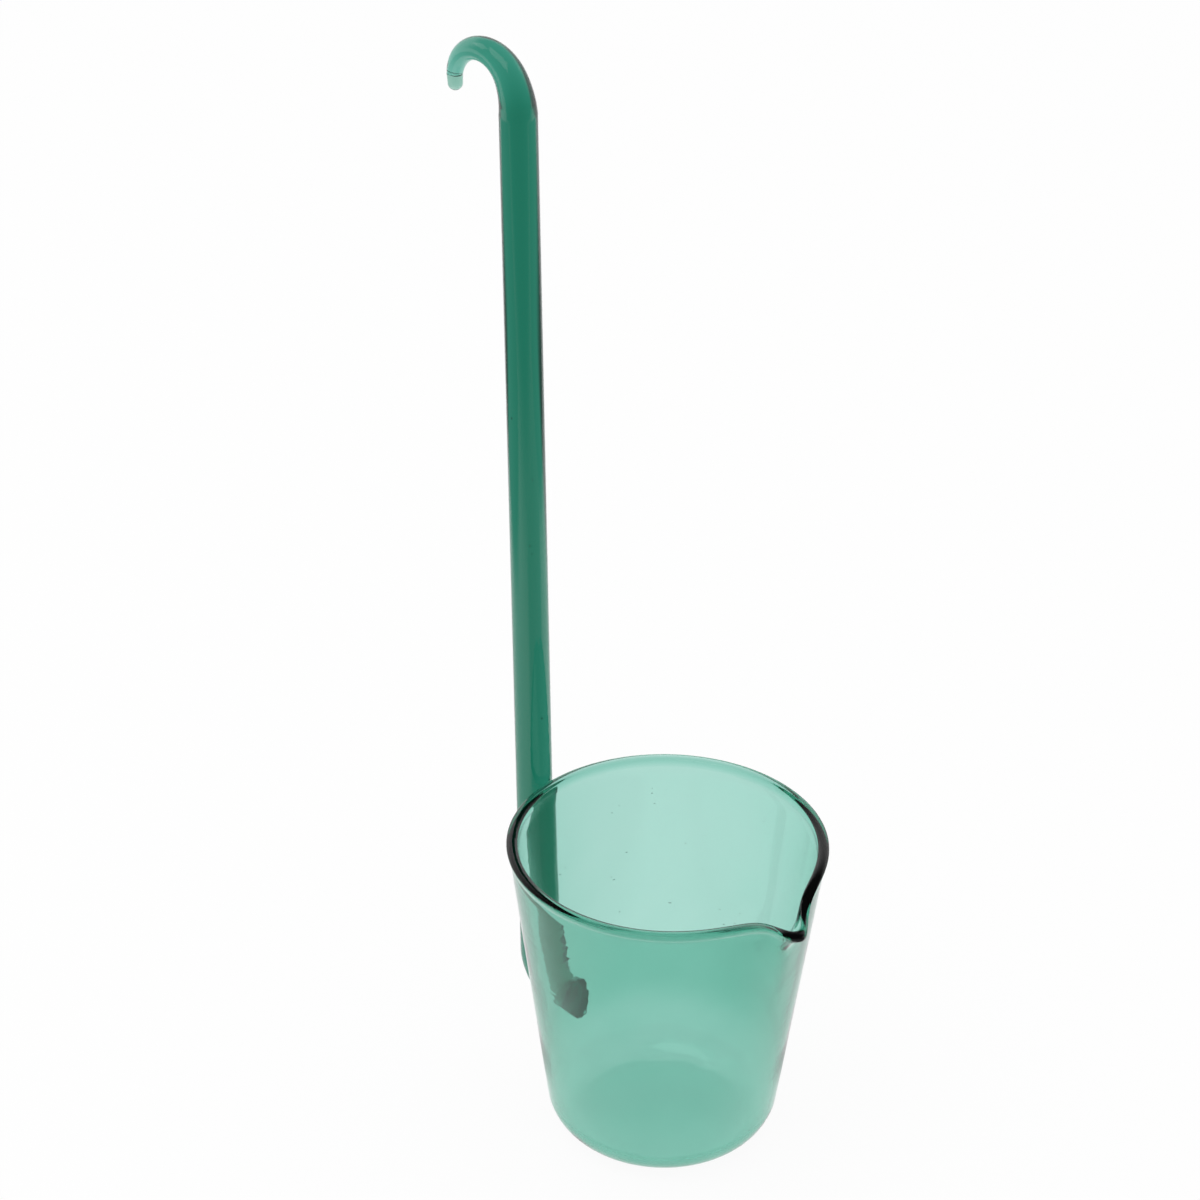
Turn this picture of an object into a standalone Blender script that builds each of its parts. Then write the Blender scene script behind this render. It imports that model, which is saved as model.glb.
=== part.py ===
"""Glass punch ladle: a flaring cup with a drawn lip, and a hooked rod welded on behind it.

Metres, +Z up. The origin is the middle of the cup's flat base, the lip faces +X and
the handle stands on the -X side. A radius and a height in one outline are written (r, z).
"""

import math

import bmesh
import bpy
import numpy as np
from mathutils import Matrix

MM = 0.001

# The cup has a flat base, a rounded heel, a straight flaring wall and a beaded rim.
RIM_RADIUS = 36.0 * MM
CUP_HEIGHT = 76.3 * MM
BASE_RADIUS = 16.8 * MM
BASE_THICKNESS = 2.2 * MM
HEEL_RADIUS = 9.8 * MM
INNER_HEEL_RADIUS = 8.2 * MM
WALL = 1.6 * MM
BEAD_RADIUS = 1.3 * MM
BEAD_PROUD = 0.6 * MM
BEAD_NECK = 3.6 * MM

# The lip is the rim drawn out and down at +X while the glass was soft.
LIP_OUT = 4.0 * MM
LIP_OUT_ANGLE = math.radians(6.8)
LIP_OUT_DEPTH = 14.0 * MM
LIP_DIP = 5.9 * MM
LIP_DIP_ANGLE = math.radians(17.0)
LIP_DIP_DEPTH = 40.0 * MM
LIP_THINNING = 0.45

# The handle is a solid rod that touches the rim, bends in to the wall at its foot
# and thins along a hook at the top.
ROD_RADIUS = 4.15 * MM
ROD_LEAN = math.radians(1.72)
ELBOW_HEIGHT = 28.5 * MM
ELBOW_RADIUS = 10.5 * MM
ELBOW_TURN = math.radians(75.0)
HOOK_HEIGHT = 239.1 * MM
HOOK_ENTRY_RADIUS = 15.9 * MM
HOOK_ENTRY_TURN = math.radians(27.1)
HOOK_RADIUS = 8.65 * MM
HOOK_TURN = math.radians(145.5)
HOOK_END_RADIUS = 1.75 * MM

# The bead that rounds off the thin end of the hook.
TIP_LENGTH = 3.8 * MM
TIP_RADIUS = 1.65 * MM
TIP_TURN = math.radians(9.0)

# The weld is a dab of glass on the wall that takes in the end of the foot.
WELD_HALF_WIDTH = 6.4 * MM
WELD_HALF_LENGTH = 7.4 * MM
WELD_RISE = 5.4 * MM

# Clearances
RIM_GAP = 0.2 * MM
WELD_GAP = 0.3 * MM
TIP_GAP = 0.4 * MM

# Mesh fineness
CUP_STEPS = 96
LIP_CROWDING = 0.5
WALL_ROWS = 7
ROD_BEVEL_STEPS = 10
BEND_STEP = math.radians(9.0)
TIP_STEPS = 24
WELD_STEPS = 28

GLASS = (0.16, 0.56, 0.44, 1.0)
PALE_GLASS = (0.45, 0.74, 0.64, 1.0)


def arc(centre, radius, start, end, count):
    """Points of a circular arc as rows of (r, z), angles measured from +r toward +z."""
    angles = np.linspace(start, end, count)
    return np.stack(
        [centre[0] + radius * np.cos(angles), centre[1] + radius * np.sin(angles)], axis=1
    )


def smooth(t):
    """Smooth step from 0 to 1, flat at both ends."""
    t = np.clip(t, 0.0, 1.0)
    return t * t * (3.0 - 2.0 * t)


def wall_lean():
    """Angle of the wall from upright, from the line that leaves the heel's arc tangentially."""
    across = RIM_RADIUS - BEAD_PROUD - BASE_RADIUS
    upward = CUP_HEIGHT - BEAD_RADIUS - HEEL_RADIUS
    return math.acos(HEEL_RADIUS / math.hypot(across, upward)) - math.atan2(upward, across)


def outer_outline(offset):
    """The plain outside of the cup from the wall's top to the base's edge, moved out by offset."""
    lean = wall_lean()
    heel = arc((BASE_RADIUS, HEEL_RADIUS), HEEL_RADIUS + offset, -lean, -math.pi / 2, 9)
    top = np.array([RIM_RADIUS - BEAD_PROUD, CUP_HEIGHT - BEAD_RADIUS])
    top += offset * np.array([math.cos(lean), -math.sin(lean)])
    share = np.linspace(0.0, 1.0, WALL_ROWS)[:-1, None] ** 1.5
    return np.concatenate([top + share * (heel[0] - top), heel])


def inner_outline():
    """The inside of the cup from the middle of the floor to the foot of the rim's swelling."""
    lean = wall_lean()
    middle = BASE_THICKNESS + INNER_HEEL_RADIUS
    top = CUP_HEIGHT - BEAD_RADIUS
    outside = RIM_RADIUS - BEAD_PROUD - (top - middle) * math.tan(lean)
    centre = (outside - (WALL + INNER_HEEL_RADIUS) / math.cos(lean), middle)
    heel = arc(centre, INNER_HEEL_RADIUS, -math.pi / 2, -lean, 8)
    rise = (top - BEAD_NECK - heel[-1, 1]) * np.linspace(0.0, 1.0, WALL_ROWS)[1:-1]
    wall = np.stack([heel[-1, 0] + rise * math.tan(lean), heel[-1, 1] + rise], axis=1)
    return np.concatenate([[[0.0, BASE_THICKNESS]], heel, wall])


def cup_profile():
    """The closed outline of the cup's section, up the inside, over the bead and down the outside."""
    lean = wall_lean()
    middle = (RIM_RADIUS - BEAD_RADIUS, CUP_HEIGHT - BEAD_RADIUS)
    bead = arc(middle, BEAD_RADIUS, math.pi, 0.0, 9)
    below = np.linspace(0.0, BEAD_NECK, 5)[1:]
    fade = smooth(1.0 - below / BEAD_NECK)
    outside = RIM_RADIUS - BEAD_PROUD - below * math.tan(lean)
    inside = outside - WALL / math.cos(lean)
    inward = 2.0 * BEAD_RADIUS - BEAD_PROUD - WALL / math.cos(lean)
    outer_neck = np.stack([outside + BEAD_PROUD * fade, middle[1] - below], axis=1)
    inner_neck = np.stack([inside - inward * fade, middle[1] - below], axis=1)[::-1]
    outer = outer_outline(0.0)
    outer = outer[outer[:, 1] < outer_neck[-1, 1] - BEAD_RADIUS]
    return np.concatenate([inner_outline(), inner_neck, bead, outer_neck, outer, [[0.0, 0.0]]])


def turned(profile, steps):
    """A mesh of the outline swept once round Z."""
    mesh = bpy.data.meshes.new("profile")
    points = [(r, 0.0, z) for r, z in profile]
    mesh.from_pydata(points, [(i, i + 1) for i in range(len(points) - 1)], [])
    helper = bpy.data.objects.new("profile", mesh)
    bpy.context.scene.collection.objects.link(helper)
    screw = helper.modifiers.new("turn", "SCREW")
    screw.steps = steps
    screw.render_steps = steps
    screw.use_merge_vertices = True
    screw.merge_threshold = 0.001 * MM
    return evaluated_mesh(helper)


def swept(points, radii):
    """A mesh of a round bar along points of (x, z) on the plane y = 0, with a radius at each."""
    curve = bpy.data.curves.new("bar", "CURVE")
    curve.dimensions = "3D"
    curve.bevel_depth = ROD_RADIUS
    curve.bevel_resolution = ROD_BEVEL_STEPS
    curve.use_fill_caps = True
    spline = curve.splines.new("POLY")
    spline.points.add(len(points) - 1)
    for point, (x, z), radius in zip(spline.points, points, radii):
        point.co = (x, 0.0, z, 1.0)
        point.radius = radius / ROD_RADIUS
    helper = bpy.data.objects.new("bar", curve)
    bpy.context.scene.collection.objects.link(helper)
    return evaluated_mesh(helper)


def evaluated_mesh(helper):
    """The helper's finished mesh with doubled points welded. The helper is removed."""
    bpy.context.view_layer.update()
    graph = bpy.context.evaluated_depsgraph_get()
    mesh = bpy.data.meshes.new_from_object(helper.evaluated_get(graph))
    bpy.data.objects.remove(helper)
    shape = bmesh.new()
    shape.from_mesh(mesh)
    bmesh.ops.remove_doubles(shape, verts=shape.verts, dist=0.001 * MM)
    bmesh.ops.recalc_face_normals(shape, faces=shape.faces)
    shape.to_mesh(mesh)
    shape.free()
    return mesh


def draw_lip(mesh):
    """Moves the cup's points so that the rim at +X runs out and down, with meridians crowded there."""
    points = np.empty(len(mesh.vertices) * 3)
    mesh.vertices.foreach_get("co", points)
    x, y, z = points.reshape(-1, 3).T
    angle = np.arctan2(y, x)
    angle -= LIP_CROWDING * np.sin(angle)
    below = CUP_HEIGHT - z
    drawn = np.exp(-((angle / LIP_OUT_ANGLE) ** 2)) * smooth(1.0 - below / LIP_OUT_DEPTH)
    middle = RIM_RADIUS - BEAD_PROUD - WALL / 2.0 - below * math.tan(wall_lean())
    radius = np.hypot(x, y)
    radius += drawn * (LIP_OUT - LIP_THINNING * (radius - middle))
    dip = LIP_DIP / (1.0 + (angle / LIP_DIP_ANGLE) ** 2) ** 2 * smooth(1.0 - below / LIP_DIP_DEPTH)
    height = z - dip - drawn * LIP_THINNING * np.maximum(BEAD_RADIUS - below, 0.0)
    moved = np.stack([radius * np.cos(angle), radius * np.sin(angle), height], axis=1)
    mesh.vertices.foreach_set("co", moved.ravel())
    mesh.update()


def bend(start, heading, radius, turn):
    """Points of an arc that leaves start along heading and turns left, and the heading it ends on.

    A heading is an angle from +Z toward -X. The start itself isn't repeated.
    """
    count = max(2, math.ceil(turn / BEND_STEP))
    centre = np.array(start) - radius * np.array([math.cos(heading), math.sin(heading)])
    return arc(centre, radius, heading, heading + turn, count + 1)[1:], heading + turn


def shaft_point(height):
    """Where the rod's straight axis passes this height."""
    at_rim = RIM_RADIUS + RIM_GAP + ROD_RADIUS / math.cos(ROD_LEAN)
    return (-at_rim - (height - CUP_HEIGHT + BEAD_RADIUS) * math.tan(ROD_LEAN), height)


def foot_path():
    """The rod's axis from the top of the elbow to its end at the wall, and the heading there."""
    start = shaft_point(ELBOW_HEIGHT)
    points, heading = bend(start, math.pi + ROD_LEAN, ELBOW_RADIUS, ELBOW_TURN)
    return np.concatenate([[start], points]), heading


def hook_path():
    """The rod's axis from the start of the hook to its thin end, and the heading there."""
    start = shaft_point(HOOK_HEIGHT)
    entry, heading = bend(start, ROD_LEAN, HOOK_ENTRY_RADIUS, HOOK_ENTRY_TURN)
    crook, heading = bend(entry[-1], heading, HOOK_RADIUS, HOOK_TURN)
    return np.concatenate([[start], entry, crook]), heading


def rod_mesh():
    """The whole handle: foot, shaft and a hook that thins evenly along its length."""
    foot, _ = foot_path()
    hook, _ = hook_path()
    steps = np.linalg.norm(np.diff(hook, axis=0), axis=1)
    share = np.concatenate([[0.0], np.cumsum(steps)]) / steps.sum()
    thinning = ROD_RADIUS + share * (HOOK_END_RADIUS - ROD_RADIUS)
    points = np.concatenate([foot[::-1], hook])
    return swept(points, np.concatenate([np.full(len(foot), ROD_RADIUS), thinning]))


def foot_cutter():
    """The rod's foot grown by the weld's clearance, on its sides and past its end."""
    foot, heading = foot_path()
    onward = np.array([-math.sin(heading), math.cos(heading)])
    points = np.concatenate([foot, [foot[-1] + WELD_GAP * onward]])
    return swept(points, np.full(len(points), ROD_RADIUS + WELD_GAP))


def cup_cutter():
    """The cup's outside as a solid, grown by the weld's clearance."""
    outline = outer_outline(WELD_GAP)
    top = [[0.0, outline[0, 1]]]
    return turned(np.concatenate([top, outline, [[0.0, outline[-1, 1]]]]), CUP_STEPS)


def tip_mesh():
    """The tip bead along +Z from the origin: flat where it meets the hook, round at its end."""
    side = TIP_LENGTH - TIP_RADIUS
    flat = [[0.0, 0.0], [HOOK_END_RADIUS, 0.0]]
    cap = arc((0.0, side), TIP_RADIUS, 0.0, math.pi / 2, 8)
    return turned(np.concatenate([flat, cap])[::-1], TIP_STEPS)


def tip_place():
    """Placing of the tip bead past the seam's clearance, turned a little further than the hook."""
    hook, heading = hook_path()
    x, z = hook[-1] + TIP_GAP * np.array([-math.sin(heading), math.cos(heading)])
    return Matrix.Translation((x, 0.0, z)) @ Matrix.Rotation(-heading - TIP_TURN, 4, "Y")


def weld_mesh():
    """The dab as a whole ellipsoid about the point of the wall that the foot aims at."""
    foot, heading = foot_path()
    lean = wall_lean()
    across = -(RIM_RADIUS - BEAD_PROUD)
    drop = CUP_HEIGHT - BEAD_RADIUS - foot[-1, 1]
    to_wall = across + drop * math.tan(lean) - foot[-1, 0]
    reach = to_wall / (-math.sin(heading) + math.cos(heading) * math.tan(lean))
    x, z = foot[-1] + reach * np.array([-math.sin(heading), math.cos(heading)])
    shape = bmesh.new()
    bmesh.ops.create_uvsphere(shape, u_segments=WELD_STEPS, v_segments=WELD_STEPS // 2, radius=1.0)
    size = Matrix.Diagonal((WELD_RISE, WELD_HALF_WIDTH, WELD_HALF_LENGTH, 1.0))
    place = Matrix.Translation((x, 0.0, z)) @ Matrix.Rotation(-lean, 4, "Y") @ size
    bmesh.ops.transform(shape, matrix=place, verts=shape.verts)
    mesh = bpy.data.meshes.new("foot_weld")
    shape.to_mesh(mesh)
    shape.free()
    return mesh


def glass(name, colour):
    """A clear coloured glass."""
    material = bpy.data.materials.new(name)
    material.use_nodes = True
    shader = material.node_tree.nodes["Principled BSDF"]
    shader.inputs["Base Color"].default_value = colour
    shader.inputs["Roughness"].default_value = 0.03
    shader.inputs["IOR"].default_value = 1.5
    shader.inputs["Transmission Weight"].default_value = 1.0
    material.diffuse_color = colour
    return material


def add_part(name, mesh, collection, colour):
    """A named piece with its own glass."""
    part = bpy.data.objects.new(name, mesh)
    mesh.shade_smooth()
    mesh.materials.append(glass(name + "_glass", colour))
    collection.objects.link(part)
    return part


def add_cutter(name, mesh, collection):
    """A helper that only cuts."""
    cutter = bpy.data.objects.new(name, mesh)
    cutter.hide_render = True
    cutter.display_type = "WIRE"
    collection.objects.link(cutter)
    return cutter


def cut(part, cutter):
    """Takes the cutter's shape out of the part."""
    modifier = part.modifiers.new(cutter.name, "BOOLEAN")
    modifier.operation = "DIFFERENCE"
    modifier.solver = "EXACT"
    modifier.object = cutter


def main():
    """Builds the ladle's four pieces."""
    for old in list(bpy.data.objects):
        bpy.data.objects.remove(old)
    pieces = bpy.data.collections.new("glass_punch_ladle")
    cutters = bpy.data.collections.new("cutters")
    bpy.context.scene.collection.children.link(pieces)
    bpy.context.scene.collection.children.link(cutters)

    cup = turned(cup_profile(), CUP_STEPS)
    draw_lip(cup)
    add_part("cup", cup, pieces, GLASS)
    add_part("handle_rod", rod_mesh(), pieces, GLASS)
    tip = add_part("tip_bead", tip_mesh(), pieces, PALE_GLASS)
    tip.matrix_world = tip_place()
    weld = add_part("foot_weld", weld_mesh(), pieces, GLASS)
    cut(weld, add_cutter("cup_cutter", cup_cutter(), cutters))
    cut(weld, add_cutter("foot_cutter", foot_cutter(), cutters))


main()
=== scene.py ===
"""Looks of the glass punch ladle: a hand-worked cup with a drawn lip, a hooked rod and its weld.

Metres, +Z up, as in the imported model: the cup stands on z = 0 about the Z axis, its lip
faces +X and the rod stands on the -X side. Every glass is clear and gets its colour from
what it absorbs along a ray's way through it.
"""

import logging
import math
from dataclasses import dataclass, field
from enum import Enum
from typing import Any

import bpy
import numpy as np
from mathutils import Matrix, Vector


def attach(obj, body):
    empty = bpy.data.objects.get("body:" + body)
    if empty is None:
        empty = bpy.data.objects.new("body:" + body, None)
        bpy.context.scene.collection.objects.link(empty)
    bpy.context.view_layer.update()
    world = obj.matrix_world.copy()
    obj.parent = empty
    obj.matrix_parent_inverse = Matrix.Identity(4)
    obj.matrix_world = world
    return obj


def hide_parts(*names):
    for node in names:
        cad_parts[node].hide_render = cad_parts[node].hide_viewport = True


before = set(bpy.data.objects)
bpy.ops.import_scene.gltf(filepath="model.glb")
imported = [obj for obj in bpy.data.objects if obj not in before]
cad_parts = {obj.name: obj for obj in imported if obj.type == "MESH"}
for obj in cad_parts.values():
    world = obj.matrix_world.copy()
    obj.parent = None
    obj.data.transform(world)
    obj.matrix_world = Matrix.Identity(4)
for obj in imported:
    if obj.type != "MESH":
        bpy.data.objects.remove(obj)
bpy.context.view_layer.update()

LOG = logging.getLogger("ladle")
MM = 0.001
WHITE = (1.0, 1.0, 1.0, 1.0)
BUBBLE_ROWS, BUBBLE_AROUND = 6, 10
INNER_RING = 0.02  # the ring nearest to a disc's middle, as a share of its radius
SIDEWAYS = np.array([0.0, 1.0, 0.0])  # square to the plane in which the rod bends
Array = np.ndarray


class Slot(Enum):
    """The record's material slots."""

    CUP = "cup_glass"
    ROD = "rod_glass"
    TIP = "tip_glass"
    WELD = "weld_glass"


class Wire:
    """A node's output, with arithmetic that adds Math nodes to its graph."""

    def __init__(self, graph: "Graph", socket: bpy.types.NodeSocket | None) -> None:
        """Keeps the graph and the output socket."""
        self.graph = graph
        self.socket = socket

    def math(self, operation: str, first: "Wire | float", second: "Wire | float") -> "Wire":
        """A Math node of this operation on two values."""
        return self.graph.add("ShaderNodeMath", {"operation": operation}, {0: first, 1: second})

    def __add__(self, other: "Wire | float") -> "Wire":
        """This value plus another."""
        return self.math("ADD", self, other)

    def __radd__(self, other: float) -> "Wire":
        """A number plus this value."""
        return self.math("ADD", other, self)

    def __sub__(self, other: "Wire | float") -> "Wire":
        """This value less another."""
        return self.math("SUBTRACT", self, other)

    def __rsub__(self, other: float) -> "Wire":
        """A number less this value."""
        return self.math("SUBTRACT", other, self)

    def __mul__(self, other: "Wire | float") -> "Wire":
        """This value times another."""
        return self.math("MULTIPLY", self, other)

    def __rmul__(self, other: float) -> "Wire":
        """A number times this value."""
        return self.math("MULTIPLY", other, self)

    def __or__(self, other: "Wire | float") -> "Wire":
        """The larger of two values."""
        return self.math("MAXIMUM", self, other)

    def __ror__(self, other: float) -> "Wire":
        """The larger of a number and this value."""
        return self.math("MAXIMUM", other, self)

    def magnitude(self) -> "Wire":
        """The value without its sign."""
        return self.math("ABSOLUTE", self, 0.0)


class Graph:
    """The node tree of a material or of the world, emptied first."""

    def __init__(self, owner: bpy.types.Material | bpy.types.World) -> None:
        """Takes over the owner's node tree.

        Args:
            owner: the material or world that the nodes are for.
        """
        owner.use_nodes = True
        self.tree = owner.node_tree
        self.tree.nodes.clear()

    def add(
        self,
        kind: str,
        settings: dict[str, Any] | None = None,
        sockets: dict[str | int, Any] | None = None,
        output: str | int = 0,
    ) -> Wire:
        """Adds a node, sets it up and fills its sockets.

        Args:
            kind: the node's type.
            settings: properties of the node, set before the sockets.
            sockets: an input's name or number, with a value or a Wire to link.
            output: the name or number of the output that is handed back.

        Returns:
            The chosen output.
        """
        node = self.tree.nodes.new(kind)
        for name, value in (settings or {}).items():
            setattr(node, name, value)
        for name, value in (sockets or {}).items():
            if isinstance(value, Wire):
                self.tree.links.new(value.socket, node.inputs[name])
            else:
                node.inputs[name].default_value = value
        return Wire(self, node.outputs[output] if node.outputs else None)

    def blend(self, share: Wire, first: tuple[float, ...], second: tuple[float, ...]) -> Wire:
        """A colour between two, by a share.

        Args:
            share: 0 for the first colour, 1 for the second.
            first: a colour.
            second: another colour.

        Returns:
            The mixed colour.
        """
        return self.add(
            "ShaderNodeMix", {"data_type": "RGBA"}, {0: share, 6: first, 7: second}, output=2
        )


@dataclass(frozen=True)
class GlassFinish:
    """A clear glass: what it takes from light on the way through, and how its skin waves."""

    name: str
    slot: Slot
    absorbs: tuple[float, float, float]
    pale: tuple[float, float, float, float] = WHITE
    deep: tuple[float, float, float, float] = (0.93, 0.985, 0.965, 1.0)
    refraction: float = 1.5
    dullest: float = 0.006
    cord_size: tuple[float, float, float] = (220.0, 220.0, 14.0)
    cord_share: float = 0.7
    cloud_size: float = 60.0
    wave: float = 0.012 * MM
    headroom: float = 1.02

    def material(self) -> bpy.types.Material:
        """Principled glass with a plain absorbing volume, waved by stretched noise.

        Returns:
            The material.
        """
        material = bpy.data.materials.new(self.name)
        graph = Graph(material)
        place = graph.add("ShaderNodeTexCoord", output="Object")
        stretched = graph.add(
            "ShaderNodeMapping", sockets={"Vector": place, "Scale": self.cord_size}
        )
        cords = graph.add(
            "ShaderNodeTexNoise", sockets={"Vector": stretched, "Scale": 1.0, "Detail": 2.0}
        )
        clouds = graph.add(
            "ShaderNodeTexNoise", sockets={"Vector": place, "Scale": self.cloud_size, "Detail": 3.0}
        )
        height = cords * self.cord_share + clouds * (1.0 - self.cord_share)
        waved = graph.add(
            "ShaderNodeBump", sockets={"Strength": 1.0, "Distance": self.wave, "Height": height}
        )
        shader = graph.add(
            "ShaderNodeBsdfPrincipled",
            sockets={
                "Base Color": graph.blend(clouds, self.pale, self.deep),
                "Roughness": clouds * self.dullest,
                "IOR": self.refraction,
                "Transmission Weight": 1.0,
                "Normal": waved,
            },
        )
        density = self.headroom * max(self.absorbs)
        kept = tuple(1.0 - share / density for share in self.absorbs)
        volume = graph.add(
            "ShaderNodeVolumeAbsorption", sockets={"Color": (*kept, 1.0), "Density": density}
        )
        graph.add("ShaderNodeOutputMaterial", sockets={"Surface": shader, "Volume": volume})
        return material


CUP_GLASS = GlassFinish(
    "clear_green_cup",
    Slot.CUP,
    (480.0, 181.0, 245.0),
    cord_size=(22.0, 22.0, 420.0),
    wave=0.02 * MM,
)
ROD_GLASS = GlassFinish("deep_green_rod", Slot.ROD, (490.0, 197.0, 248.0))
TIP_GLASS = GlassFinish("pale_green_tip", Slot.TIP, (370.0, 180.0, 232.0))
WELD_GLASS = GlassFinish("green_weld", Slot.WELD, (950.0, 480.0, 560.0), wave=0.06 * MM)


def smooth(t: Array) -> Array:
    """Step from 0 to 1 that is flat at both ends: 3t^2 - 2t^3."""
    t = np.clip(t, 0.0, 1.0)
    return t * t * (3.0 - 2.0 * t)


def arc(centre: tuple[float, float], radius: float, start: float, end: float, count: int) -> Array:
    """Points of a circular arc, angles from the first axis toward the second.

    Args:
        centre: the circle's middle.
        radius: the circle's radius.
        start: the first point's angle.
        end: the last point's angle.
        count: how many points.

    Returns:
        Rows of two coordinates.
    """
    angles = np.linspace(start, end, count)
    return np.array(centre) + radius * np.stack([np.cos(angles), np.sin(angles)], axis=1)


def circle(count: int) -> Array:
    """Angles evenly spaced once round."""
    return np.linspace(0.0, 2.0 * math.pi, count, endpoint=False)


def onward(heading: Array) -> Array:
    """Unit vectors along an axis whose heading is an angle from +Z toward -X."""
    return np.stack([-np.sin(heading), np.zeros_like(heading), np.cos(heading)], axis=-1)


def square(heading: Array) -> Array:
    """Unit vectors square to such an axis, in the plane in which it bends."""
    return np.stack([np.cos(heading), np.zeros_like(heading), np.sin(heading)], axis=-1)


def spokes(heading: Array, around: int) -> Array:
    """Unit vectors round such an axis: cos a * square + sin a * sideways.

    Args:
        heading: the axis's headings.
        around: how many spokes each gets.

    Returns:
        The vectors in the order heading, spoke, coordinate.
    """
    angle = circle(around)[:, None]
    return np.cos(angle) * square(heading)[..., None, :] + np.sin(angle) * SIDEWAYS


def straight(start: Array, end: Array, count: int) -> Array:
    """Points evenly spaced from start toward end, with neither end among them."""
    share = np.linspace(0.0, 1.0, count + 2)[1:-1, None]
    return start + share * (end - start)


def ring_faces(rings: int, around: int, first: int) -> tuple[Array, Array]:
    """Faces of closed rings stacked between two end points.

    Point number first + i * around + j is point j of ring i, and the two end points follow
    the rings. Quads join each ring to the next and triangles close the ends.

    Args:
        rings: how many rings.
        around: how many points a ring has.
        first: the number of the first point.

    Returns:
        The quads and the triangles.
    """
    j = np.arange(around)
    following = (j + 1) % around
    low = first + around * np.arange(rings - 1)[:, None]
    high = low + around
    quads = np.stack([low + j, low + following, high + following, high + j], axis=-1)
    start = first + rings * around
    top = first + (rings - 1) * around
    opening = np.stack([np.full(around, start), first + following, first + j], axis=1)
    closing = np.stack([np.full(around, start + 1), top + j, top + following], axis=1)
    return quads.reshape(-1, 4), np.concatenate([opening, closing])


@dataclass
class Skin:
    """Closed surfaces gathered for one mesh."""

    points: list[Array] = field(default_factory=list)
    quads: list[Array] = field(default_factory=list)
    triangles: list[Array] = field(default_factory=list)
    count: int = 0

    def add(self, rings: Array, start: Array, end: Array, inward: bool = False) -> None:
        """Adds one closed surface of stacked rings between two end points.

        Args:
            rings: points in the order ring, place on the ring, coordinate.
            start: the point that closes the first ring.
            end: the point that closes the last ring.
            inward: True for a hollow, whose faces point into it.
        """
        quads, triangles = ring_faces(rings.shape[0], rings.shape[1], self.count)
        self.points.append(np.concatenate([rings.reshape(-1, 3), [start, end]]))
        self.quads.append(quads[:, ::-1] if inward else quads)
        self.triangles.append(triangles[:, ::-1] if inward else triangles)
        self.count += len(self.points[-1])

    def add_bubble(self, middle: Array, half_axes: Array) -> None:
        """Adds a hollow ellipsoid on a grid of latitude and longitude.

        Args:
            middle: its middle.
            half_axes: its three half axes, one a row, the last between its poles.
        """
        latitude = np.linspace(-1.0, 1.0, BUBBLE_ROWS + 2)[1:-1, None] * math.pi / 2
        longitude = circle(BUBBLE_AROUND)
        x = np.cos(latitude) * np.cos(longitude)
        y = np.cos(latitude) * np.sin(longitude)
        unit = np.stack([x, y, np.broadcast_to(np.sin(latitude), x.shape)], axis=-1)
        pole = half_axes[2]
        self.add(middle + unit @ half_axes, middle - pole, middle + pole, inward=True)

    def piece(self, name: str, node: str, finish: GlassFinish) -> bpy.types.Object:
        """Makes the mesh object that stands for a CAD node.

        Args:
            name: the new object's name.
            node: the CAD node that it stands for.
            finish: its glass.

        Returns:
            The object, riding on the ladle's one body.
        """
        mesh = bpy.data.meshes.new(name)
        quads = np.concatenate(self.quads).tolist()
        triangles = np.concatenate(self.triangles).tolist()
        mesh.from_pydata(np.concatenate(self.points), [], quads + triangles)
        mesh.shade_smooth()
        mesh.materials.append(finish.material())
        piece = bpy.data.objects.new(name, mesh)
        bpy.context.scene.collection.objects.link(piece)
        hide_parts(node)
        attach(piece, "root")
        return piece


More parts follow.
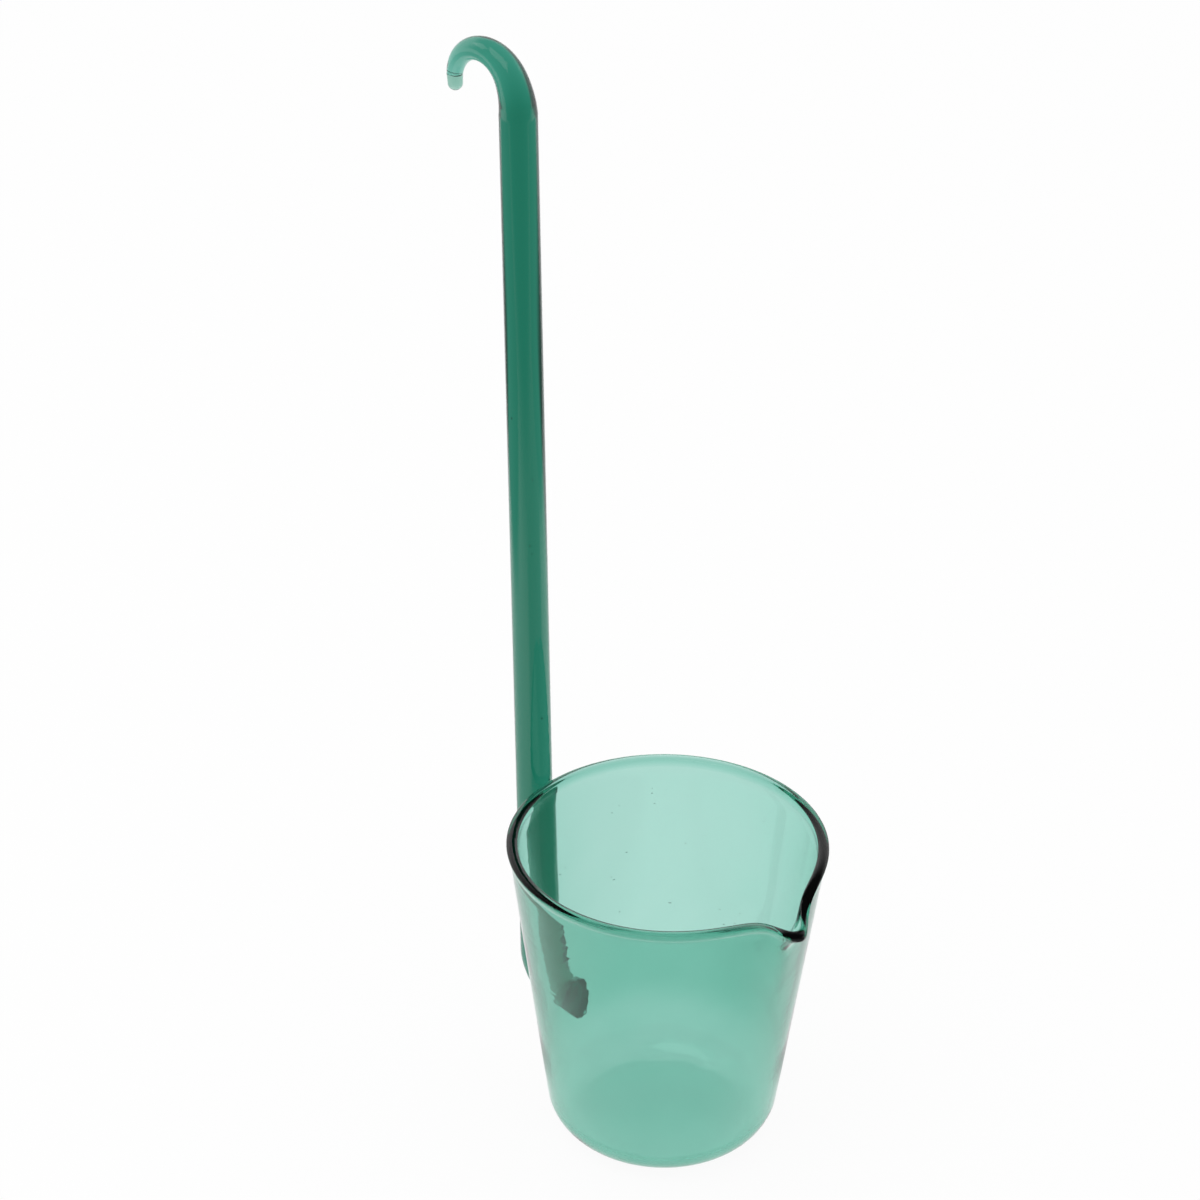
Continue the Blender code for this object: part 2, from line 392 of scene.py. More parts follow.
@dataclass
class Cup:
    """The flaring cup with a flat base, a rounded heel, a beaded rim and a drawn lip."""

    rim_radius: float = 36.0 * MM
    height: float = 76.3 * MM
    base_radius: float = 16.8 * MM
    heel_radius: float = 9.8 * MM
    wall: float = 1.6 * MM
    base_thickness: float = 1.2 * MM
    heel_thickness: float = 0.85 * MM
    floor_edge: tuple[float, float] = (19.2 * MM, 20.2 * MM)
    heel_extra: float = 0.6 * MM
    heel_sweep: float = 0.8
    thin_angle: float = math.radians(131.0)
    thickening: float = 12.0 * MM
    unevenness: float = 0.013
    uneven_span: tuple[float, float] = (0.7, 0.9)
    rim_drop: float = 1.45 * MM
    bead_half: float = 1.255 * MM
    bead_top: float = 0.46 * MM
    bead_proud: float = 0.55 * MM
    inner_neck: float = 1.95 * MM
    outer_neck: float = 1.6 * MM
    neck_power: float = 2.0
    lip_out: float = 3.9 * MM
    lip_out_angle: float = math.radians(6.8)
    lip_out_depth: float = 6.8 * MM
    lip_curl: float = 0.45 * MM
    lip_curl_angle: float = math.radians(13.0)
    lip_curl_depth: float = 3.0 * MM
    lip_dip: float = 6.6 * MM
    lip_dip_angle: float = math.radians(14.8)
    lip_dip_depth: float = 40.0 * MM
    lip_thickening: float = 0.08
    lip_thick_angle: float = math.radians(8.0)
    lip_thick_depth: float = 12.0 * MM
    lip_crowding: float = 0.5
    around: int = 330
    rows: tuple[int, int, int] = (14, 44, 26)
    neck_rows: int = 33
    bead_rows: int = 31
    seeds: int = 28
    seed_radius: float = 0.085 * MM
    seed_sizes: tuple[float, float] = (0.5, 1.4)
    seed_stretch: tuple[float, float] = (1.2, 4.0)
    seed_cluster: tuple[float, float] = (math.radians(134.0), math.radians(24.0))
    seed_spread: float = 1.4
    seed_heights: tuple[float, float] = (32.0 * MM, 69.0 * MM)
    chance: int = 7

    @property
    def lean(self) -> float:
        """The wall's angle from upright, as the tangent from the rim to the heel's arc.

        Returns:
            The angle.
        """
        across = self.rim_radius - self.bead_proud - self.base_radius
        upward = self.height - self.rim_drop - self.heel_radius
        return math.acos(self.heel_radius / math.hypot(across, upward)) - math.atan2(upward, across)

    def outside(self, z: Array | float) -> Array | float:
        """The radius of the straight outer wall at a height."""
        top = self.height - self.rim_drop
        return self.rim_radius - self.bead_proud - (top - z) * math.tan(self.lean)

    def inside(self, z: Array | float) -> Array | float:
        """The radius of the straight inner wall at a height."""
        return self.outside(z) - self.wall / math.cos(self.lean)

    def necks(self) -> tuple[Array, Array]:
        """The rim's two sides, where its broad top runs down into the wall.

        A side is the wall's own line plus what the rim stands off it, which fades down the
        neck as 1 - t^2, so the rim is round and meets the wall in a crease.

        Returns:
            The inner and the outer side from the top down, as rows of radius and height.
        """
        top = self.height - self.bead_top
        middle = self.rim_radius - self.bead_half
        t = np.linspace(0.0, 1.0, self.neck_rows)[1:]
        fade = 1.0 - t**self.neck_power
        inner_z = top - t * self.inner_neck
        outer_z = top - t * self.outer_neck
        inner = self.inside(inner_z) + (middle - self.bead_half - self.inside(top)) * fade
        outer = self.outside(outer_z) + (self.rim_radius - self.outside(top)) * fade
        return np.stack([inner, inner_z], axis=1), np.stack([outer, outer_z], axis=1)

    def outer_side(self) -> tuple[Array, Array]:
        """The outside from the middle of the base to the height of the inner neck's foot.

        Returns:
            Rows of radius and height, and the outward normal of each.
        """
        lean = self.lean
        top = self.height - self.bead_top - self.inner_neck - self.wall * math.sin(lean)
        base_rows, heel_rows, wall_rows = self.rows
        turn = np.linspace(-math.pi / 2, -lean, heel_rows)
        normal = np.stack([np.cos(turn), np.sin(turn)], axis=1)
        heel = np.array([self.base_radius, self.heel_radius]) + self.heel_radius * normal
        first = [INNER_RING * self.base_radius, 0.0]
        base = np.linspace(first, heel[0], base_rows, endpoint=False)
        wall = np.linspace(heel[-1], [self.outside(top), top], wall_rows + 1)[1:]
        down = np.broadcast_to(normal[0], base.shape)
        outward = np.broadcast_to(normal[-1], wall.shape)
        return np.concatenate([base, heel, wall]), np.concatenate([down, normal, outward])

    def thickness(self, side: Array, angle: Array) -> Array:
        """How thick the glass is along the outside.

        It is the base's as far as the floor's edge, steps to the heel's, and from the heel's
        end grows smoothly to the wall's. The heel is thin at one angle and thickens away from
        it by a smooth step of 1 - cos.

        Args:
            side: rows of radius and height along the outside.
            angle: angles round the axis.

        Returns:
            The thickness in the order row, angle.
        """
        start, end = self.floor_edge
        edge = smooth((side[:, :1] - start) / (end - start))
        grown = smooth((side[:, 1:] - self.heel_radius) / self.thickening)
        turned = smooth(self.heel_sweep * (1.0 - np.cos(angle - self.thin_angle)))
        thin = self.heel_thickness + self.heel_extra * turned
        heel = thin + (self.wall - thin) * grown
        return self.base_thickness + (heel - self.base_thickness) * edge

    def hand_wave(self, x: Array, y: Array, z: Array) -> Array:
        """Slow unevenness of hand-worked glass between about -1 and 1: crossed sines, scaled.

        Args:
            x: places along X.
            y: places along Y.
            z: heights.

        Returns:
            The wave at each place.
        """
        largest = 2.2
        waves = (
            (210.0, 90.0, 150.0, 0.4),
            (-130.0, 260.0, -90.0, 1.9),
            (330.0, -240.0, 260.0, 3.1),
            (-420.0, -310.0, 380.0, 5.0),
            (560.0, 120.0, -470.0, 0.9),
        )
        return sum(np.sin(i * x + j * y + k * z + phase) for i, j, k, phase in waves) / largest

    def surface(self, angle: Array) -> tuple[Array, Array]:
        """The turned cup, from the middle of its floor over the rim to the middle of its base.

        In order: the inside, which is the outside moved in by the glass's thickness and its
        unevenness, the inner neck, the rim's elliptical top, the outer neck, the outside.

        Args:
            angle: angles round the axis.

        Returns:
            Radii and heights in the order row, angle.
        """
        side, normals = self.outer_side()
        turned = (side[:, :1] * np.cos(angle), side[:, :1] * np.sin(angle), side[:, 1:])
        start, end = self.uneven_span
        fade = 1.0 - smooth((side[:, 1:] / self.height - start) / (end - start))
        wave = self.unevenness * fade * self.hand_wave(*turned)
        thick = self.thickness(side, angle) * (1.0 + wave)
        inner_radius = side[:, :1] - normals[:, :1] * thick
        inner_z = side[:, 1:] - normals[:, 1:] * thick
        inner_neck, outer_neck = self.necks()
        bead = arc((0.0, 0.0), 1.0, math.pi, 0.0, self.bead_rows) * (self.bead_half, self.bead_top)
        bead = bead + (self.rim_radius - self.bead_half, self.height - self.bead_top)
        outer = side[side[:, 1] < outer_neck[-1, 1]][::-1]
        rest = np.concatenate([inner_neck[-2::-1], bead, outer_neck, outer])
        shape = (len(rest), len(angle))
        radius = np.concatenate([inner_radius, np.broadcast_to(rest[:, :1], shape)])
        z = np.concatenate([inner_z, np.broadcast_to(rest[:, 1:], shape)])
        return radius, z

    def drawn(self, radius: Array, angle: Array, z: Array) -> Array:
        """Points of the turned cup moved to where the soft rim was drawn out, curled and dipped.

        The draw is a bell curve round the lip times t^2, with t falling from 1 at the top to
        0 at its depth, and the section turns by the slope of that draw, so the rim's top leans
        outward. A shallower and wider draw curls the edge. The dip is 1 / (1 + angle^2)^2, and
        the glass thickens at the lip by another bell curve.

        Args:
            radius: distances from the axis.
            angle: angles from the lip.
            z: heights.

        Returns:
            The points, with the coordinate as the last axis.
        """
        below = self.height - z
        middle = (self.outside(z) + self.inside(z)) / 2.0
        shift = np.zeros_like(below)
        slope = np.zeros_like(below)
        for out, spread, depth in (
            (self.lip_out, self.lip_out_angle, self.lip_out_depth),
            (self.lip_curl, self.lip_curl_angle, self.lip_curl_depth),
        ):
            bell = np.exp(-((angle / spread) ** 2))
            t = np.clip(1.0 - below / depth, 0.0, 1.0)
            shift = shift + out * bell * t * t
            slope = slope + 2.0 * out / depth * bell * t
        tilt = np.arctan(slope)
        thicker = np.exp(-((angle / self.lip_thick_angle) ** 2))
        thicker = self.lip_thickening * thicker * smooth(1.0 - below / self.lip_thick_depth)
        across = (radius - middle) * (1.0 + thicker)
        dip = self.lip_dip / (1.0 + (angle / self.lip_dip_angle) ** 2) ** 2
        dip = dip * smooth(1.0 - below / self.lip_dip_depth)
        radius = middle + shift + across * np.cos(tilt)
        z = z - dip - across * np.sin(tilt)
        return np.stack([radius * np.cos(angle), radius * np.sin(angle), z], axis=-1)

    def angles(self) -> Array:
        """Angles once round, closer together at the lip."""
        even = np.linspace(-math.pi, math.pi, self.around, endpoint=False)
        return even - self.lip_crowding * np.sin(even)

    def add_seeds(self, skin: Skin) -> None:
        """Adds small drawn-out bubbles in the wall's middle at the back, half in one cluster.

        Args:
            skin: the cup's surfaces.
        """
        dice = np.random.default_rng(self.chance)
        even = self.seed_cluster[0] + dice.uniform(-self.seed_spread, self.seed_spread, self.seeds)
        close = dice.normal(*self.seed_cluster, self.seeds)
        turns = np.where(np.arange(self.seeds) % 2 == 0, even, close)
        heights = dice.uniform(*self.seed_heights, self.seeds)
        sizes = self.seed_radius * dice.uniform(*self.seed_sizes, self.seeds)
        stretches = dice.uniform(*self.seed_stretch, self.seeds)
        for turn, z, size, stretch in zip(turns, heights, sizes, stretches):
            turned = np.array(Matrix.Rotation(turn, 3, "Z"))
            middle = turned @ np.array([self.outside(z) - 0.5 * self.wall, 0.0, z])
            skin.add_bubble(middle, np.diag([size, stretch * size, size]) @ turned.T)

    def build(self) -> bpy.types.Object:
        """Turns the section round Z, draws the lip and adds the seeds.

        Returns:
            The cup.
        """
        turn = self.angles()
        radius, z = self.surface(turn)
        angle = np.broadcast_to(turn, radius.shape)
        skin = Skin()
        rings = self.drawn(radius, angle, z)
        skin.add(rings, np.array([0.0, 0.0, self.base_thickness]), np.zeros(3), inward=True)
        self.add_seeds(skin)
        return skin.piece("lipped_cup", "cup", CUP_GLASS)


@dataclass
class Rod:
    """The solid handle: a foot bent in to the wall, a straight shaft and a hook that thins."""

    cup: Cup
    radius: float = 4.15 * MM
    lean: float = math.radians(1.72)
    rim_gap: float = 0.2 * MM
    rim_height: float = 75.0 * MM
    elbow_height: float = 28.5 * MM
    elbow_radius: float = 10.5 * MM
    elbow_turn: float = math.radians(75.0)
    hook_height: float = 239.1 * MM
    entry_radius: float = 15.9 * MM
    entry_turn: float = math.radians(27.1)
    hook_radius: float = 8.65 * MM
    hook_turn: float = math.radians(145.5)
    end_radius: float = 1.75 * MM
    edge: float = 0.03 * MM
    foot_narrowing: float = 0.4 * MM
    foot_length: float = 5.0 * MM
    foot_marks: float = 0.45 * MM
    foot_marks_span: tuple[float, float, float] = (4.0 * MM, 10.0 * MM, 27.0 * MM)
    foot_marks_facing: float = math.radians(41.0)
    seeds: int = 14
    seed_radius: float = 0.13 * MM
    seed_sizes: tuple[float, float] = (0.5, 1.5)
    seed_depths: tuple[float, float] = (0.3, 0.8)
    seed_span: tuple[float, float] = (0.1, 0.97)
    seed_stretch: float = 1.8
    chance: int = 3
    around: int = 96
    rows: tuple[int, int, int, int] = (110, 420, 28, 70)
    edge_rows: int = 7
    overrun: tuple[float, float] = (1.0 * MM, 8.0 * MM)
    axis_points: int = 12001

    @property
    def lengths(self) -> tuple[float, float, float, float]:
        """How long each stretch of the axis is: radius times turn, or height over cos lean.

        Returns:
            Lengths of the elbow, the shaft, the hook's entry and its crook.
        """
        shaft = (self.hook_height - self.elbow_height) / math.cos(self.lean)
        return (
            self.elbow_radius * self.elbow_turn,
            shaft,
            self.entry_radius * self.entry_turn,
            self.hook_radius * self.hook_turn,
        )

    @property
    def marks(self) -> Array:
        """Distances along the axis at which the elbow, shaft, entry and crook start and end."""
        return np.concatenate([[0.0], np.cumsum(self.lengths)])

    @property
    def length(self) -> float:
        """The whole axis from the foot's end to the seam."""
        return sum(self.lengths)

    def heading(self, way: Array) -> Array:
        """The axis's angle from +Z toward -X, which changes evenly along each bend.

        Args:
            way: distances along the axis from the foot's end.

        Returns:
            The angle at each.
        """
        turns = [self.elbow_turn, 0.0, 0.0, self.entry_turn, self.entry_turn + self.hook_turn]
        return self.lean + np.interp(way, self.marks, turns)

    def axis(self, way: Array) -> Array:
        """Points of the axis: the heading's direction summed along the way.

        Args:
            way: distances along the axis from the foot's end.

        Returns:
            Points with the coordinate as the last axis.
        """
        before, after = self.overrun
        fine = np.linspace(-before, self.length + after, self.axis_points)
        middle = self.heading((fine[1:] + fine[:-1]) / 2.0)
        step = fine[1] - fine[0]
        x = np.concatenate([[0.0], np.cumsum(-np.sin(middle))]) * step
        z = np.concatenate([[0.0], np.cumsum(np.cos(middle))]) * step
        at_rim = self.cup.rim_radius + self.rim_gap + self.radius / math.cos(self.lean)
        known = self.lengths[0]
        shaft_x = -at_rim - (self.elbow_height - self.rim_height) * math.tan(self.lean)
        x = np.interp(way, fine, x + shaft_x - np.interp(known, fine, x))
        z = np.interp(way, fine, z + self.elbow_height - np.interp(known, fine, z))
        return np.stack([x, np.zeros_like(way), z], axis=-1)

    def thickness(self, way: Array) -> Array:
        """The rod's radius: narrowed at the foot's end, even to the hook, thinning to the seam.

        Args:
            way: distances along the axis from the foot's end.

        Returns:
            The radius at each.
        """
        hook = self.lengths[0] + self.lengths[1]
        foot = self.foot_narrowing * (1.0 - smooth(way / self.foot_length))
        return np.interp(way, [hook, self.length], [self.radius, self.end_radius]) - foot

    def rings(self, way: Array, radius: Array) -> Array:
        """Circles square to the axis: middle + r * spoke.

        Args:
            way: distances along the axis from the foot's end.
            radius: each circle's radius.

        Returns:
            Points in the order circle, place on it, coordinate.
        """
        spoke = spokes(self.heading(way), self.around)
        return self.axis(way)[:, None, :] + radius[:, None, None] * spoke

    def tool_marks(self, way: Array) -> Array:
        """How far the worked foot stands out in ridges toward the cup: crossed sines that fade.

        Args:
            way: distances along the axis from the foot's end.

        Returns:
            Heights in the order circle, place on it.
        """
        angle = circle(self.around)
        along = way[:, None] / MM
        wave = np.sin(4.1 * along + 2.0 * np.sin(angle))
        wave = wave + 0.8 * np.sin(2.3 * along - 3.0 * angle + 1.0)
        wave = wave + 0.7 * np.sin(7.3 * along + 5.0 * angle)
        low, full, end = self.foot_marks_span
        fade = smooth((way - low) / (full - low)) * (1.0 - smooth((way - full) / (end - full)))
        facing = np.clip(np.cos(angle - self.foot_marks_facing), 0.0, 1.0) ** 2
        return self.foot_marks * fade[:, None] * facing * (0.9 + 0.8 * wave)

    def add_seeds(self, skin: Skin) -> None:
        """Adds small bubbles drawn out along the rod.

        Args:
            skin: the rod's surfaces.
        """
        dice = np.random.default_rng(self.chance)
        ways = dice.uniform(*self.seed_span, self.seeds) * self.length
        sizes = self.seed_radius * dice.uniform(*self.seed_sizes, self.seeds)
        places = dice.integers(0, self.around, self.seeds)
        depths = dice.uniform(*self.seed_depths, self.seeds) * self.thickness(ways)
        middles = self.rings(ways, depths)[np.arange(self.seeds), places]
        for middle, heading, size in zip(middles, self.heading(ways), sizes):
            long = self.seed_stretch * onward(heading)
            skin.add_bubble(middle, size * np.stack([square(heading), SIDEWAYS, long]))

    def build(self) -> bpy.types.Object:
        """Carries circles along the axis, marks the foot and rounds off both ends' edges.

        Returns:
            The rod.
        """
        stretches = zip(self.marks[:-1], self.marks[1:], self.rows)
        way = np.concatenate([np.linspace(a, b, n, endpoint=False) for a, b, n in stretches])
        inside = way[(way > self.edge) & (way < self.length - self.edge)]
        turn = np.linspace(0.0, math.pi / 2, self.edge_rows)
        inset = self.edge * (1.0 - np.sin(turn))
        back = self.edge * (1.0 - np.cos(turn))
        way = np.concatenate([back, inside, self.length - back[::-1]])
        radius = self.thickness(way)
        radius[: len(turn)] -= inset
        radius[-len(turn):] -= inset[::-1]
        rings = self.rings(way, radius)
        middle = self.axis(way)[:, None, :]
        rings = middle + (rings - middle) * (1.0 + self.tool_marks(way) / self.radius)[..., None]
        skin = Skin()
        start, end = self.axis(np.array([0.0, self.length]))
        skin.add(rings, start, end)
        self.add_seeds(skin)
        return skin.piece("hooked_rod", "handle_rod", ROD_GLASS)


@dataclass
class TipBead:
    """The paler bead past the seam, round at its end and turned a little further in."""

    rod: Rod
    length: float = 3.8 * MM
    radius: float = 1.65 * MM
    turn: float = math.radians(9.0)
    seam: float = 0.03 * MM
    edge: float = 0.02 * MM
    rows: tuple[int, int, int] = (6, 10, 20)
    around: int = 64

    def build(self) -> bpy.types.Object:
        """Turns a bullet outline round the line that leaves the hook's end.

        Returns:
            The tip bead.
        """
        corner_rows, body_rows, cap_rows = self.rows
        side = self.length - self.radius
        inset = (self.rod.end_radius - self.edge, self.edge)
        corner = arc(inset, self.edge, -math.pi / 2, 0.0, corner_rows)
        body = straight(corner[-1], np.array([self.radius, side]), body_rows)
        cap = arc((0.0, side), self.radius, 0.0, math.pi / 2, cap_rows)[:-1]
        outline = np.concatenate([corner, body, cap])
        heading = self.rod.heading(np.array(self.rod.length))
        start = self.rod.axis(np.array(self.rod.length)) + self.seam * onward(heading)
        heading = heading + self.turn
        way = onward(heading)
        spoke = spokes(heading, self.around)
        rings = start + outline[:, 1, None, None] * way + outline[:, 0, None, None] * spoke
        skin = Skin()
        skin.add(rings, start, start + self.length * way)
        return skin.piece("pale_tip", "tip_bead", TIP_GLASS)


@dataclass
class FootWeld:
    """The dab of glass that was melted on round the rod's foot and run out on the wall."""

    rod: Rod
    gap: float = 0.12 * MM
    half_width: float = 3.8 * MM
    half_length: float = 5.0 * MM
    sideways: float = 0.5 * MM
    raggedness: float = 0.06
    collar: float = 2.0 * MM
    collar_wall: float = 0.7 * MM
    wall_height: float = 19.0 * MM
    shoulder_in: float = 0.65
    shoulder_out: float = 0.25
    rows: tuple[int, int, int, int] = (16, 22, 9, 12)

    def on_wall(self, y: Array, z: Array) -> Array:
        """Points just off the cup's outer wall on the rod's side, from y and z.

        Args:
            y: sideways places.
            z: heights.

        Returns:
            Points with x = -sqrt(radius^2 - y^2) as the first coordinate.
        """
        cup = self.rod.cup
        radius = cup.outside(z) + self.gap / math.cos(cup.lean)
        return np.stack([-np.sqrt(radius * radius - y * y), y, z], axis=-1)

    def build(self) -> bpy.types.Object:
        """Joins a ragged patch on the wall to a collar round the foot.

        The patch is an ellipse whose radius waves with the angle. From its edge a quadratic
        Bezier curve at each angle runs in and up to the collar's mouth, and the collar's bore
        follows the rod down to its end.

        Returns:
            The weld.
        """
        patch_rows, run_rows, lip_rows, bore_rows = self.rows
        angle = circle(self.rod.around)
        wave = np.sin(3.0 * angle + 0.6) + 0.7 * np.sin(7.0 * angle + 2.1)
        wave = wave + 0.5 * np.sin(13.0 * angle)
        reach = 1.0 + self.raggedness * wave
        y = self.sideways + self.half_width * reach * np.sin(angle)
        z = self.half_length * reach * np.cos(angle)
        share = np.linspace(0.0, 1.0, patch_rows)[1:, None]
        patch = self.on_wall(share * y, self.wall_height + share * z)
        bore_way = np.linspace(self.collar, -self.gap, bore_rows)
        bore = self.rod.thickness(bore_way) + self.gap
        mouth = self.rod.rings(bore_way[:1], bore[:1] + self.collar_wall)[0]
        edge = patch[-1]
        toward_mouth = np.array([self.shoulder_out, self.shoulder_in, self.shoulder_in])
        shoulder = edge + toward_mouth * (mouth - edge)
        t = np.linspace(0.0, 1.0, run_rows)[1:, None, None]
        run = (1.0 - t) ** 2 * edge + 2.0 * t * (1.0 - t) * shoulder + t * t * mouth
        turn = np.linspace(0.0, math.pi, lip_rows)[1:]
        lip_way = self.collar + 0.5 * self.collar_wall * np.sin(turn)
        lip_radius = bore[0] + 0.5 * self.collar_wall * (1.0 + np.cos(turn))
        way = np.concatenate([lip_way, bore_way[1:]])
        radius = np.concatenate([lip_radius, bore[1:]])
        rings = np.concatenate([patch, run, self.rod.rings(way, radius)])
        skin = Skin()
        start = self.on_wall(np.array([0.0]), np.array([self.wall_height]))[0]
        end = self.rod.axis(np.array([-self.gap]))[0]
        skin.add(rings, start, end)
        return skin.piece("ragged_weld", "foot_weld", WELD_GLASS)


@dataclass(frozen=True)
class SoftBox:
    """A soft box that faces the cup: where it hangs, its width and height, and its watts."""

    name: str
    place: tuple[float, float, float]
    size: tuple[float, float]
    power: float
    aim: tuple[float, float, float] = (0.0, 0.0, 80.0 * MM)

    def build(self) -> None:
        """Hangs the lamp and aims it at the cup."""
        lamp = bpy.data.lights.new(self.name, "AREA")
        lamp.shape = "RECTANGLE"
        lamp.size, lamp.size_y = self.size
        lamp.energy = self.power
        box = bpy.data.objects.new(self.name, lamp)
        way = Vector(self.aim) - Vector(self.place)
        turned = way.to_track_quat("-Z", "Y").to_matrix().to_4x4()
        box.matrix_world = Matrix.Translation(self.place) @ turned
        bpy.context.scene.collection.objects.link(box)


@dataclass(frozen=True)
class Studio:
    """A white sweep with painted dark bands beside the cup and other painted shade that only the
    glass shows, a dark room, two soft boxes and the camera.
    """

    floor_radius: float = 9.0
    floor_sides: int = 64
    floor_gap: float = 0.3 * MM
    floor_glow: float = 0.94
    # Painted shade on the floor that only reflections show, farther out toward the camera.
    front_fade: tuple[float, float] = (0.12, 0.38)
    front_shade: float = 0.95
    # Painted shade on the floor near the cup: toward the camera in reflections, beside the cup for
    # rays that went through the glass.
    foreground: tuple[float, float] = (0.01, 0.06)
    surround: tuple[float, float] = (0.03, 0.08)
    foreground_shade: float = 0.62
    # Painted light: the painted shade near the cup is kept off the floor on the left, which stays
    # bright in the glass.
    left_light: tuple[float, float] = (0.03, 0.10)
    # A painted shadow ring on the floor behind the cup's foot, seen only in reflections.
    foot_ring: tuple[float, float, float, float] = (0.031, 0.035, 0.039, 0.048)
    foot_back: tuple[float, float] = (0.0, 0.02)
    foot_shade: float = 0.35
    room_light: float = 0.8
    room_dark: float = 0.06
    sweep_behind: tuple[float, float] = (-0.1, 0.35)
    sweep_top: tuple[float, float] = (0.45, 0.8)
    lamps: tuple[SoftBox, ...] = (
        SoftBox("soft_box_left", (-1.1, -0.7, 1.2), (0.7, 0.7), 1.4),
        SoftBox("soft_box_top", (0.03, -0.71, 1.4), (1.2, 0.9), 3.6),
    )
    # Painted dark bands on the floor left and right of the cup, seen only through or off the glass.
    painted_band_span: tuple[float, float, float, float] = (0.22, 0.28, 0.54, 0.66)
    painted_band_reach: tuple[float, float] = (0.22, 0.36)
    painted_band_shade: float = 0.85
    azimuth: float = 0.7214
    elevation: float = 0.5438
    roll: float = 0.0119
    camera_place: tuple[float, float, float] = (0.4853, -0.5756, 0.5941)
    lens: float = 122.77
    sensor: float = 36.0

    @property
    def toward(self) -> Vector:
        """The level direction from the cup toward the camera."""
        return Vector((math.sin(self.azimuth), -math.cos(self.azimuth), 0.0))

    @property
    def right(self) -> Vector:
        """The level direction to the camera's right."""
        return Vector((math.cos(self.azimuth), math.sin(self.azimuth), 0.0))

    @staticmethod
    def rays(graph: Graph, kind: str) -> Wire:
        """1 for rays of a kind: Camera, Glossy or Transmission."""
        return graph.add("ShaderNodeLightPath", output=f"Is {kind} Ray")

    def clear_rays(self, graph: Graph) -> Wire:
        """1 for rays that come off the glass or out of it."""
        return self.rays(graph, "Glossy") | self.rays(graph, "Transmission")

    @staticmethod
    def some(graph: Graph, kind: str) -> Wire:
        """1 for rays with at least one bounce of a kind: Glossy or Transmission."""
        bounces = graph.add("ShaderNodeLightPath", output=f"{kind} Depth")
        return graph.add("ShaderNodeMath", {"operation": "MINIMUM"}, {0: bounces, 1: 1.0})

    @staticmethod
    def along(graph: Graph, place: Wire, direction: Vector) -> Wire:
        """How far a place lies along a direction."""
        sockets = {0: place, 1: tuple(direction)}
        return graph.add("ShaderNodeVectorMath", {"operation": "DOT_PRODUCT"}, sockets, "Value")

    @staticmethod
    def step(graph: Graph, value: Wire, limits: tuple[float, float]) -> Wire:
        """A smooth step of a value from 0 to 1 between two limits.

        Args:
            graph: the nodes that it joins.
            value: what it reads.
            limits: where it starts and ends.

        Returns:
            The step.
        """
        return graph.add(
            "ShaderNodeMapRange",
            {"interpolation_type": "SMOOTHSTEP"},
            {"Value": value, "From Min": limits[0], "From Max": limits[1]},
        )

    def band(self, graph: Graph, value: Wire, limits: tuple[float, ...]) -> Wire:
        """1 for values between the middle two of four limits, 0 past the outer two."""
        rise = self.step(graph, value, limits[:2])
        return rise * (1.0 - self.step(graph, value, limits[2:]))

    def floor_light(self, graph: Graph) -> Wire:
        """How bright the sweep looks: white to the camera, with painted shade and painted light
        that only the glass shows.

        In reflections the floor gets painted shade where it runs out toward the camera and a
        painted shadow ring behind the foot; inside the glass the painted shade falls beside the cup
        instead.
        The painted shade near the cup is kept off the left, which stays bright as painted light.
        Every ray through or off the glass meets painted dark bands on the floor left and right of
        the cup.

        Args:
            graph: the floor's nodes.

        Returns:
            The brightness.
        """
        camera = self.rays(graph, "Camera")
        mirrored = self.some(graph, "Glossy")
        place = graph.add("ShaderNodeTexCoord", output="Object")
        front = self.along(graph, place, self.toward)
        sideways = self.along(graph, place, self.right)
        inside = self.some(graph, "Transmission")
        aside = sideways.magnitude()
        # Painted light: the floor on the left keeps its brightness in the glass.
        left = self.step(graph, 0.0 - sideways, self.left_light)
        # Painted shade near the cup: toward the camera in reflections, beside the cup in the glass.
        near = self.step(graph, front, self.foreground) * (1.0 - inside)
        near = near | self.step(graph, aside, self.surround) * inside
        near = near * (1.0 - left) * self.foreground_shade
        away = graph.add("ShaderNodeVectorMath", {"operation": "LENGTH"}, {0: place}, "Value")
        # A painted shadow ring on the floor behind the foot.
        foot = self.band(graph, away, self.foot_ring) * self.foot_shade
        foot = foot * self.step(graph, 0.0 - front, self.foot_back)
        # Painted shade on the floor farther out toward the camera, seen in reflections.
        far = self.step(graph, front, self.front_fade) * self.front_shade
        # Painted dark bands on the floor left and right of the cup.
        painted_band = self.band(graph, aside, self.painted_band_span) * self.painted_band_shade
        painted_band = painted_band * (1.0 - self.step(graph, front.magnitude(), self.painted_band_reach))
        return 1.0 - (1.0 - camera) * ((near | foot | far) * mirrored | painted_band)

    def build_floor(self) -> bpy.types.Object:
        """A wide round floor of rings about the origin, white with a faint shadow.

        Returns:
            The floor.
        """
        sides = self.floor_sides
        angle = circle(sides)
        reach = np.array([self.floor_radius, INNER_RING * self.floor_radius])[:, None]
        x = reach * np.cos(angle)
        rings = np.stack([x, reach * np.sin(angle), np.full_like(x, -self.floor_gap)], axis=-1)
        points = np.concatenate([rings.reshape(-1, 3), [[0.0, 0.0, -self.floor_gap]]])
        j = np.arange(sides)
        following = (j + 1) % sides
        quads = np.stack([j, following, sides + following, sides + j], axis=1).tolist()
        last = np.full(sides, 2 * sides)
        middle = np.stack([sides + j, sides + following, last], axis=1).tolist()
        mesh = bpy.data.meshes.new("white_floor")
        mesh.from_pydata(points, [], quads + middle)
        material = bpy.data.materials.new("white_sweep")
        graph = Graph(material)
        matt = graph.add(
            "ShaderNodeBsdfPrincipled",
            sockets={"Base Color": (0.95, 0.95, 0.95, 1.0), "Roughness": 0.9},
        )
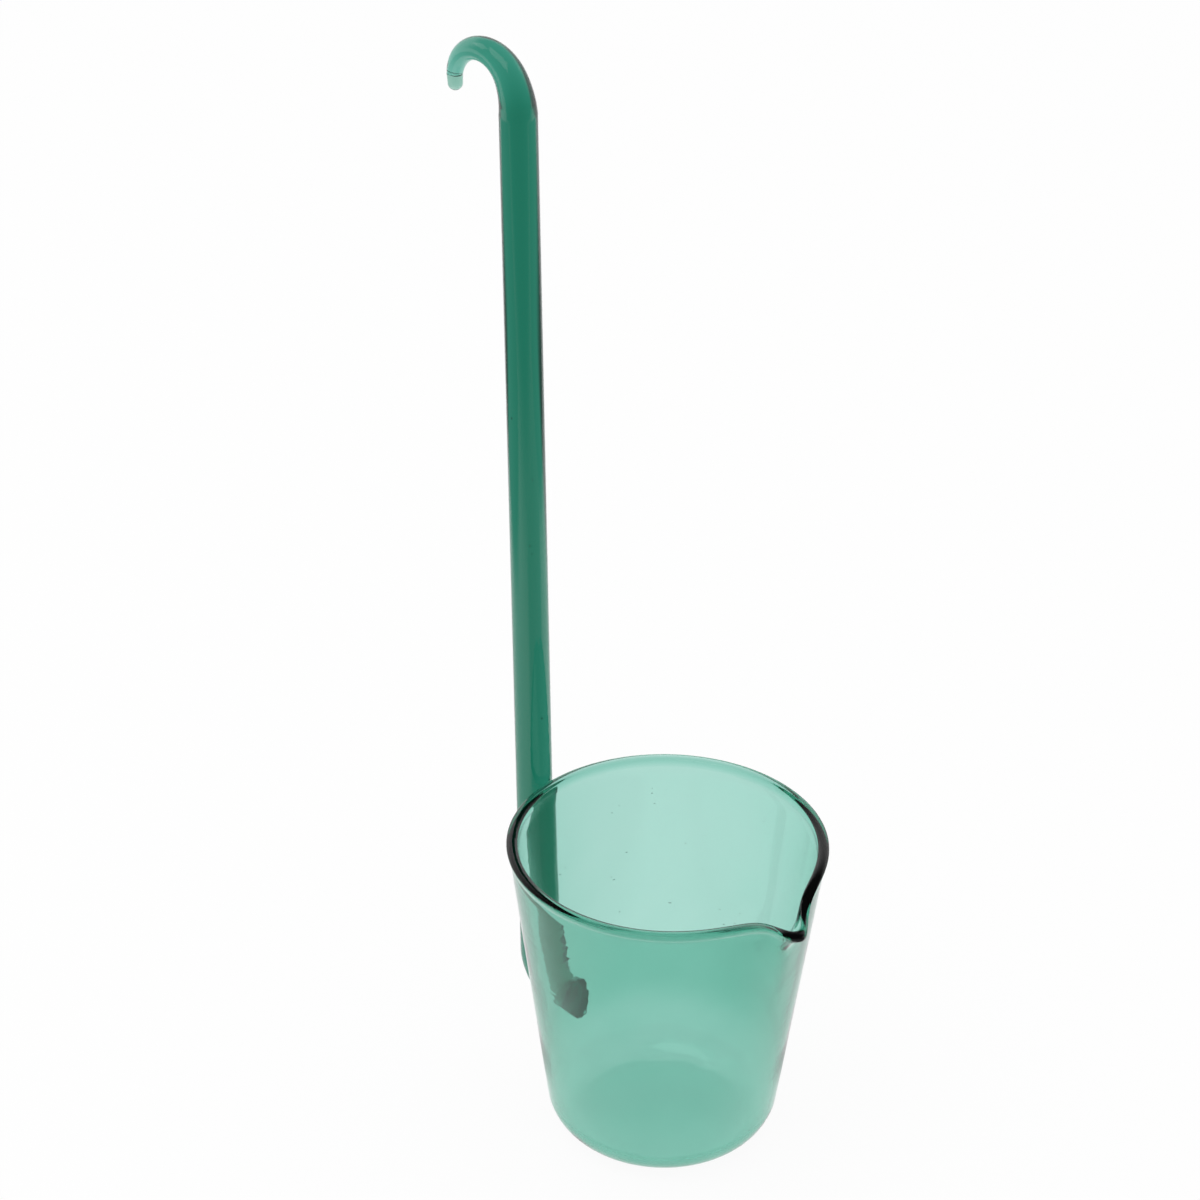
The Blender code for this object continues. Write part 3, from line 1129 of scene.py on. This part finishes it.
        # The glow's strength carries the painted shade and painted light of floor_light, which only
        # the glass shows.
        glow = graph.add(
            "ShaderNodeEmission", sockets={"Color": WHITE, "Strength": self.floor_light(graph)}
        )
        share = (self.rays(graph, "Camera") | self.clear_rays(graph)) * self.floor_glow
        mixed = graph.add("ShaderNodeMixShader", sockets={0: share, 1: matt, 2: glow})
        graph.add("ShaderNodeOutputMaterial", sockets={"Surface": mixed})
        mesh.materials.append(material)
        floor = bpy.data.objects.new("white_floor", mesh)
        bpy.context.scene.collection.objects.link(floor)
        return floor

    def build_world(self) -> None:
        """A room that is white to the camera, and in glass only where the sweep rises behind."""
        world = bpy.data.worlds.new("studio")
        bpy.context.scene.world = world
        graph = Graph(world)
        camera = self.rays(graph, "Camera")
        clear = self.clear_rays(graph)
        ahead = graph.add("ShaderNodeTexCoord", output="Generated")
        behind = self.step(graph, self.along(graph, ahead, -self.toward), self.sweep_behind)
        upward = self.along(graph, ahead, Vector((0.0, 0.0, 1.0)))
        low = 1.0 - self.step(graph, upward, self.sweep_top)
        room = self.room_dark + behind * low * (1.0 - self.room_dark)
        level = camera | (clear * room) | ((1.0 - clear) * self.room_light)
        light = graph.add("ShaderNodeBackground", sockets={"Color": WHITE, "Strength": level})
        graph.add("ShaderNodeOutputWorld", sockets={"Surface": light})

    def build_camera(self) -> None:
        """The camera at the photograph's place, aimed by azimuth and elevation, then rolled."""
        az, el = self.azimuth, self.elevation
        ahead = Vector((-math.sin(az) * math.cos(el), math.cos(az) * math.cos(el), -math.sin(el)))
        up = self.right.cross(ahead)
        across = math.cos(self.roll) * self.right + math.sin(self.roll) * up
        upward = math.cos(self.roll) * up - math.sin(self.roll) * self.right
        data = bpy.data.cameras.new("camera")
        data.sensor_width = self.sensor
        data.lens = self.lens
        data.clip_start = 0.01
        camera = bpy.data.objects.new("camera", data)
        turned = Matrix((across, upward, -ahead)).transposed().to_4x4()
        camera.matrix_world = Matrix.Translation(self.camera_place) @ turned
        bpy.context.scene.collection.objects.link(camera)
        bpy.context.scene.camera = camera

    def build(self) -> None:
        """Sets up the floor, the light and the camera."""
        self.build_floor()
        self.build_world()
        for lamp in self.lamps:
            lamp.build()
        self.build_camera()
        bpy.context.scene.view_settings.view_transform = "Standard"


def main() -> None:
    """Builds the ladle's pieces and the studio."""
    logging.basicConfig(level=logging.INFO, format="%(name)s %(message)s")
    cup = Cup()
    rod = Rod(cup)
    for maker in (cup, rod, TipBead(rod), FootWeld(rod)):
        piece = maker.build()
        LOG.info("built %s with %d faces", piece.name, len(piece.data.polygons))
    Studio().build()


if __name__ == "__main__":
    main()
